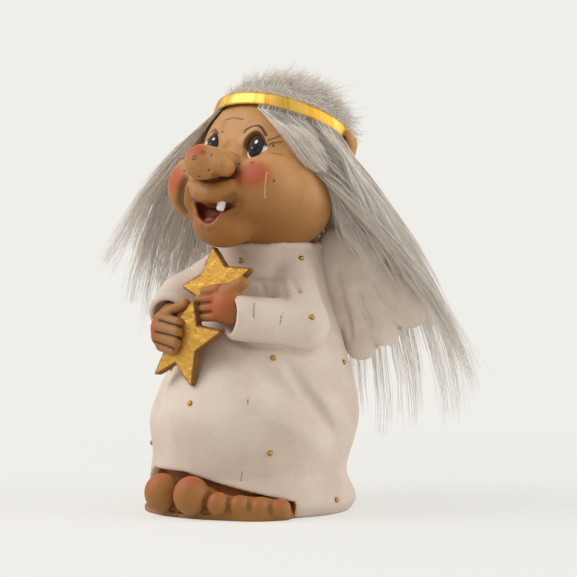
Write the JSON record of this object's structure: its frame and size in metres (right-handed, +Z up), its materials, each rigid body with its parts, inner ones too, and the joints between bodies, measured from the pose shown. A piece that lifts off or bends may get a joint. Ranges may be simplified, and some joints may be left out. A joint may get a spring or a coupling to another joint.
{
  "type": "troll figurine",
  "caption": "Standing troll angel ornament in a moulded robe, with a fur wig held by a foil headband, feathered wings on its back and gilt stars in its hands.",
  "frame": {"origin": "middle of the flat base", "axes": "+Z up, -Y towards the figure's front, +X towards its left hand"},
  "size_m": [0.1355, 0.111, 0.1662],
  "materials": {
    "robe_paint": "matt off-white paint over a warm base coat, lightly brushed",
    "skin_paint": "matt tan paint with a brown wash in the hollows and red blush on cheeks, knuckles and toes",
    "wing_paint": "matt off-white paint",
    "eye_gloss": "gloss white with a painted dark iris and a white highlight",
    "tooth_paint": "satin ivory white",
    "gold_foil": "bright yellow foil ribbon with fine cross ribs",
    "gilt_paint": "brushed gold paint over brown",
    "stud_brass": "satin gold",
    "wig_fur": "long grey-beige fur"
  },
  "bodies": {
    "root": {"robe": "robe_paint", "head": "skin_paint", "left_eye": "eye_gloss", "right_eye": "eye_gloss", "tooth": "tooth_paint", "headband": "gold_foil", "crown_fur": "wig_fur", "left_lock": "wig_fur", "right_lock": "wig_fur", "back_lock": "wig_fur", "left_hand": "skin_paint", "right_hand": "skin_paint", "upper_star": "gilt_paint", "lower_star": "gilt_paint", "left_foot": "skin_paint", "right_foot": "skin_paint", "left_wing": "wing_paint", "right_wing": "wing_paint", "stud_1": "stud_brass", "stud_2": "stud_brass", "stud_3": "stud_brass", "stud_4": "stud_brass", "stud_5": "stud_brass", "stud_6": "stud_brass", "stud_7": "stud_brass", "stud_8": "stud_brass", "stud_9": "stud_brass", "stud_10": "stud_brass", "stud_11": "stud_brass", "stud_12": "stud_brass", "stud_13": "stud_brass", "stud_14": "stud_brass", "stud_15": "stud_brass", "stud_16": "stud_brass", "stud_17": "stud_brass"}
  },
  "joints": []
}
